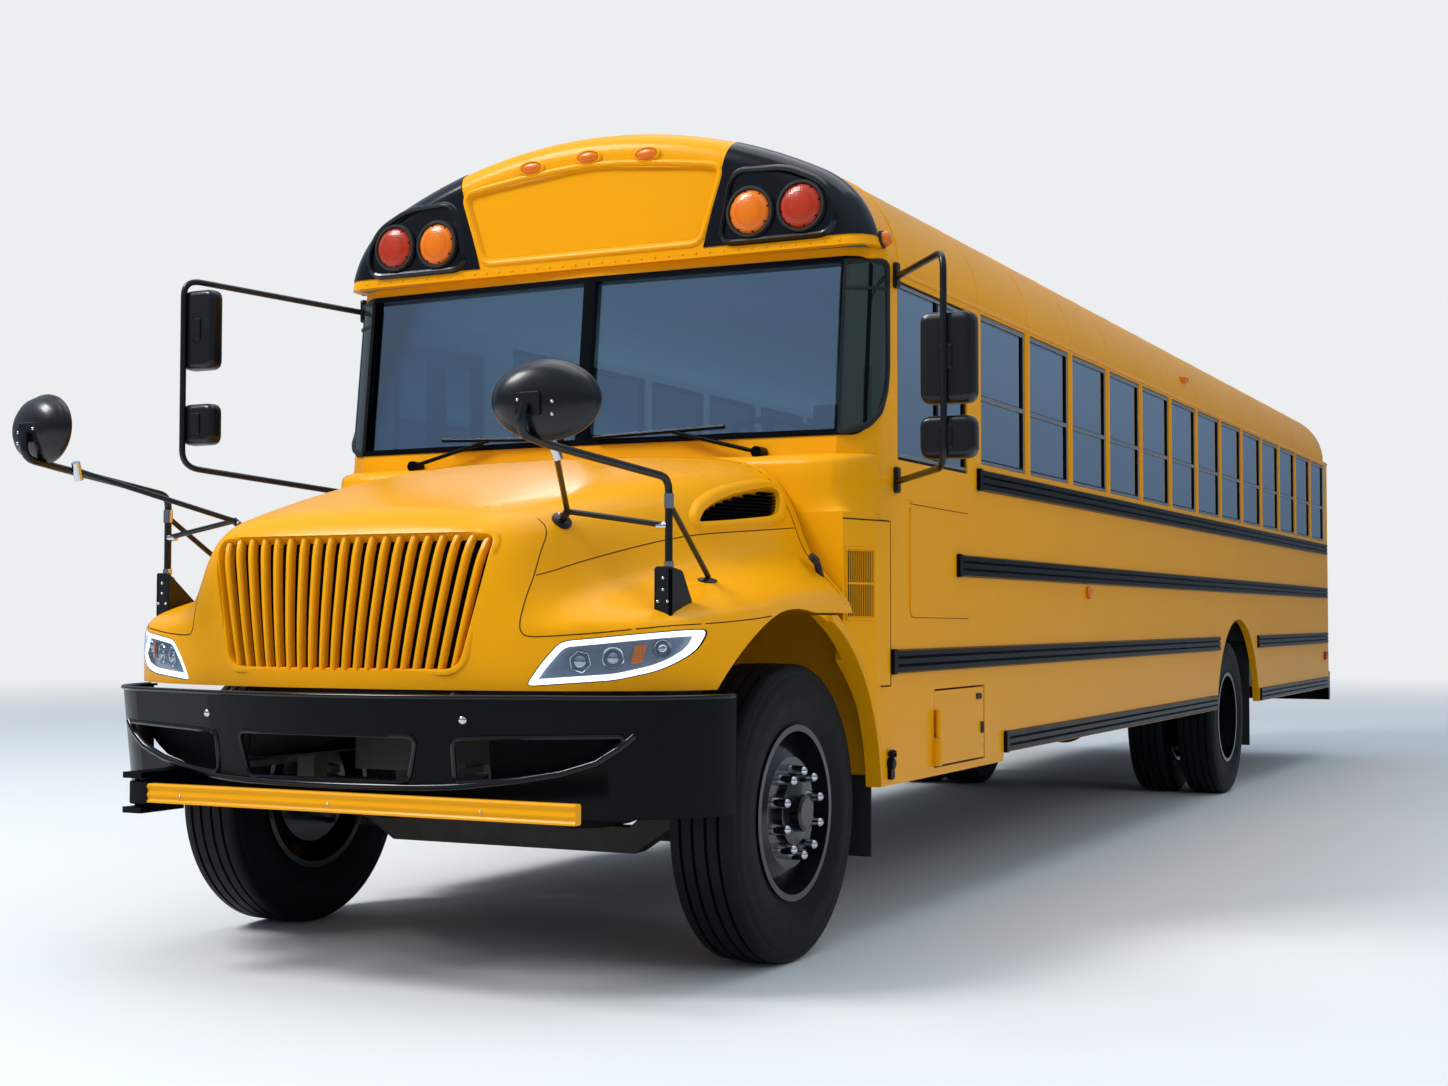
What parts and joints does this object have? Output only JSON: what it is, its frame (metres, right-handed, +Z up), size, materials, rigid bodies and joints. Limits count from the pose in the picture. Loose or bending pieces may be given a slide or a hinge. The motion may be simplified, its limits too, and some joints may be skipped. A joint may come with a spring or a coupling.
{
  "type": "school bus",
  "caption": "Conventional yellow school bus with a tilting nose, steered front wheels, dual rear wheels, split side windows, opening doors and a swing-out crossing arm.",
  "frame": {"origin": "on the ground below the middle of the overall box", "axes": "front faces -Y, driver's side is +X, +Z is up"},
  "size_m": [3.37, 12.3999, 3.0998],
  "materials": {
    "body_yellow": "gloss school-bus yellow",
    "trim_black": "satin black",
    "chassis_black": "dull black",
    "axle_steel": "dull steel",
    "cast": "dull iron",
    "wheel_black": "satin black",
    "tyre_rubber": "matt",
    "flap_rubber": "matt",
    "window_black": "satin black",
    "tinted_glass": "clear, lightly tinted",
    "mirror_plastic": "satin black",
    "lens_red": "gloss",
    "lens_amber": "gloss",
    "lamp_clear": "gloss",
    "seat_vinyl": "dull blue vinyl",
    "dash_grey": "matt",
    "floor_grey": "ribbed rubber on steel",
    "tank_grey": "dull black",
    "exhaust_steel": "dull"
  },
  "bodies": {
    "bus": {"frame_rails": "chassis_black", "engine_block": "cast", "front_axle_beam": "axle_steel", "rear_axle": "axle_steel", "driveshaft": "axle_steel", "leaf_springs": "axle_steel", "fuel_tank": "tank_grey", "exhaust": "exhaust_steel", "floor_pan": "floor_grey", "wheel_boxes": "floor_grey", "entrance_steps": "floor_grey", "wall_left": "body_yellow", "wall_right": "body_yellow", "rear_wall": "body_yellow", "roof": "body_yellow", "roof_cap_front": "body_yellow", "cowl": "body_yellow", "window_frames": "window_black", "body_glass": "tinted_glass", "rub_rails": "trim_black", "lamp_bezels": "trim_black", "red_lamps": "lens_red", "amber_lamps": "lens_amber", "rear_view_mirrors": "mirror_plastic", "wipers": "trim_black", "bumpers": "trim_black", "mud_flaps": "flap_rubber", "seat_frames": "chassis_black", "seat_cushions": "seat_vinyl", "dashboard": "dash_grey"},
    "hood": {"hood_shell": "body_yellow", "grille": "body_yellow", "headlamps": "lamp_clear", "hood_intakes": "trim_black", "cross_view_mirrors": "mirror_plastic"},
    "left_knuckle": {"knuckle_left": "axle_steel"},
    "right_knuckle": {"knuckle_right": "axle_steel"},
    "steering_link": {"tie_rod": "axle_steel"},
    "front_left_wheel": {"front_wheel_left": "wheel_black", "front_tyre_left": "tyre_rubber"},
    "front_right_wheel": {"front_wheel_right": "wheel_black", "front_tyre_right": "tyre_rubber"},
    "rear_left_wheels": {"rear_wheels_left": "wheel_black", "rear_tyres_left": "tyre_rubber"},
    "rear_right_wheels": {"rear_wheels_right": "wheel_black", "rear_tyres_right": "tyre_rubber"},
    "driver_steering_wheel": {"steering_wheel": "dash_grey"},
    "entrance_leaf_front": {"entrance_door_front": "window_black", "entrance_glass_front": "tinted_glass"},
    "entrance_leaf_rear": {"entrance_door_rear": "window_black", "entrance_glass_rear": "tinted_glass"},
    "rear_exit_door": {"emergency_door": "body_yellow", "emergency_glass": "tinted_glass"},
    "side_hatch": {"compartment_door": "body_yellow"},
    "front_crossing_arm": {"crossing_arm": "body_yellow"}
  },
  "joints": [
    {"name": "hood_tilt", "type": "hinge", "parent": "bus", "child": "hood", "pos_m": [0, -5.8, 0.92], "axis": [1, 0, 0], "range_deg": [0, 55]},
    {"name": "steer_left", "type": "hinge", "parent": "bus", "child": "left_knuckle", "pos_m": [0.86, -4.77, 0.509], "axis": [0, 0, 1], "range_deg": [-45, 45]},
    {"name": "steer_right", "type": "hinge", "parent": "bus", "child": "right_knuckle", "pos_m": [-0.86, -4.77, 0.509], "axis": [0, 0, 1], "range_deg": [-45, 45]},
    {"name": "tie_rod_pivot", "type": "hinge", "parent": "left_knuckle", "child": "steering_link", "pos_m": [0.86, -4.57, 0.425], "axis": [0, 0, 1], "range_deg": [-45, 45]},
    {"name": "steering_wheel_turn", "type": "hinge", "parent": "bus", "child": "driver_steering_wheel", "pos_m": [0.6, -3.72, 1.85], "axis": [0, 0.5, 0.866], "range_deg": [-675, 675]},
    {"name": "front_left_spin", "type": "hinge", "parent": "left_knuckle", "child": "front_left_wheel", "pos_m": [1.02, -4.77, 0.509], "axis": [1, 0, 0], "continuous": true},
    {"name": "front_right_spin", "type": "hinge", "parent": "right_knuckle", "child": "front_right_wheel", "pos_m": [-1.02, -4.77, 0.509], "axis": [1, 0, 0], "continuous": true},
    {"name": "rear_left_spin", "type": "hinge", "parent": "bus", "child": "rear_left_wheels", "pos_m": [0.863, 2.24, 0.509], "axis": [1, 0, 0], "continuous": true},
    {"name": "rear_right_spin", "type": "hinge", "parent": "bus", "child": "rear_right_wheels", "pos_m": [-0.863, 2.24, 0.509], "axis": [1, 0, 0], "continuous": true},
    {"name": "entrance_front_swing", "type": "hinge", "parent": "bus", "child": "entrance_leaf_front", "pos_m": [-1.222, -3.97, 1.41], "axis": [0, 0, 1], "range_deg": [0, 90]},
    {"name": "entrance_rear_swing", "type": "hinge", "parent": "bus", "child": "entrance_leaf_rear", "pos_m": [-1.222, -3.27, 1.41], "axis": [0, 0, -1], "range_deg": [0, 90]},
    {"name": "rear_exit_swing", "type": "hinge", "parent": "bus", "child": "rear_exit_door", "pos_m": [-0.34, 6.098, 1.74], "axis": [0, 0, 1], "range_deg": [0, 110]},
    {"name": "side_hatch_swing", "type": "hinge", "parent": "bus", "child": "side_hatch", "pos_m": [1.222, -3.605, 0.74], "axis": [0, 0, -1], "range_deg": [0, 110]},
    {"name": "crossing_arm_swing", "type": "hinge", "parent": "bus", "child": "front_crossing_arm", "pos_m": [-0.75, -5.907, 0.6], "axis": [0, 0, -1], "range_deg": [0, 90]}
  ],
  "couplings": [
    {"joint": "steer_right", "follows": "steer_left", "ratio": 1},
    {"joint": "tie_rod_pivot", "follows": "steer_left", "ratio": -1},
    {"joint": "steering_wheel_turn", "follows": "steer_left", "ratio": 15}
  ]
}
